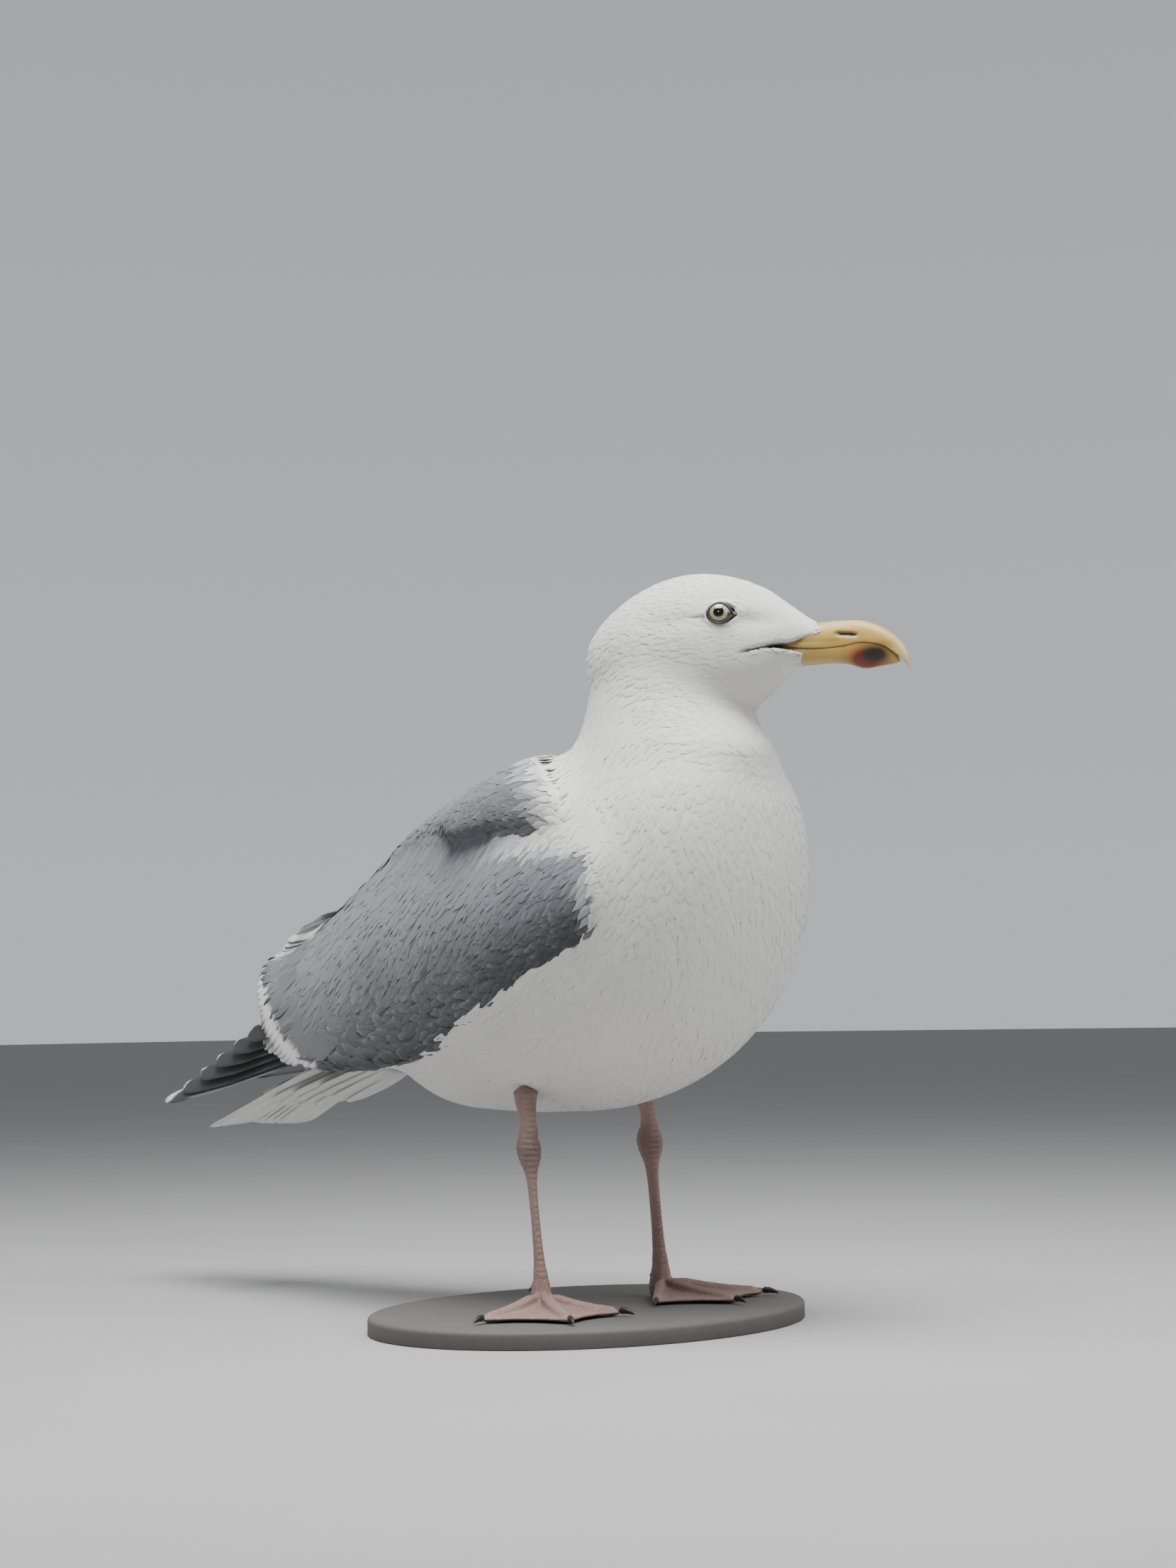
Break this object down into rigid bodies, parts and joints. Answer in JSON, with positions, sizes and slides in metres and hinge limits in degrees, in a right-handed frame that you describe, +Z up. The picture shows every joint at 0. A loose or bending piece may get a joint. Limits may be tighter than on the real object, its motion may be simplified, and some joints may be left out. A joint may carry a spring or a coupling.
{
  "type": "herring gull model",
  "caption": "Life-size still model of a herring gull standing with folded wings and its head turned a little to its left, on a plain oval base.",
  "frame": {"origin": "on the floor, under the middle of the whole model's box, at the underside of the base", "axes": "+X forwards along the bird's body, +Y to the bird's left, +Z up"},
  "size_m": [0.4966, 0.224, 0.3432],
  "materials": {
    "plumage_white": "soft overlapping body feathers, white",
    "plumage_grey": "soft overlapping covert feathers, light grey with pale edges",
    "plumage_black": "flight feathers, black with white tips",
    "bill": "smooth horn, yellow with a red-orange spot",
    "eye": "wet and glossy, pale yellow iris",
    "leg_skin": "scaly bare skin, greyish pink",
    "claw": "dark horn",
    "base": "painted matt, dark warm grey"
  },
  "bodies": {
    "root": {"head": "plumage_white", "neck": "plumage_white", "trunk": "plumage_white", "tail": "plumage_white", "mantle": "plumage_grey", "wing_left": "plumage_grey", "wing_right": "plumage_grey", "primaries_left": "plumage_black", "primaries_right": "plumage_black", "bill_upper": "bill", "bill_lower": "bill", "eye_left": "eye", "eye_right": "eye", "foot_left": "leg_skin", "foot_right": "leg_skin", "tarsus_left": "leg_skin", "tarsus_right": "leg_skin", "shank_left": "leg_skin", "shank_right": "leg_skin", "claw_left_outer": "claw", "claw_left_middle": "claw", "claw_left_inner": "claw", "claw_left_hind": "claw", "claw_right_outer": "claw", "claw_right_middle": "claw", "claw_right_inner": "claw", "claw_right_hind": "claw", "stand_base": "base"}
  },
  "joints": []
}
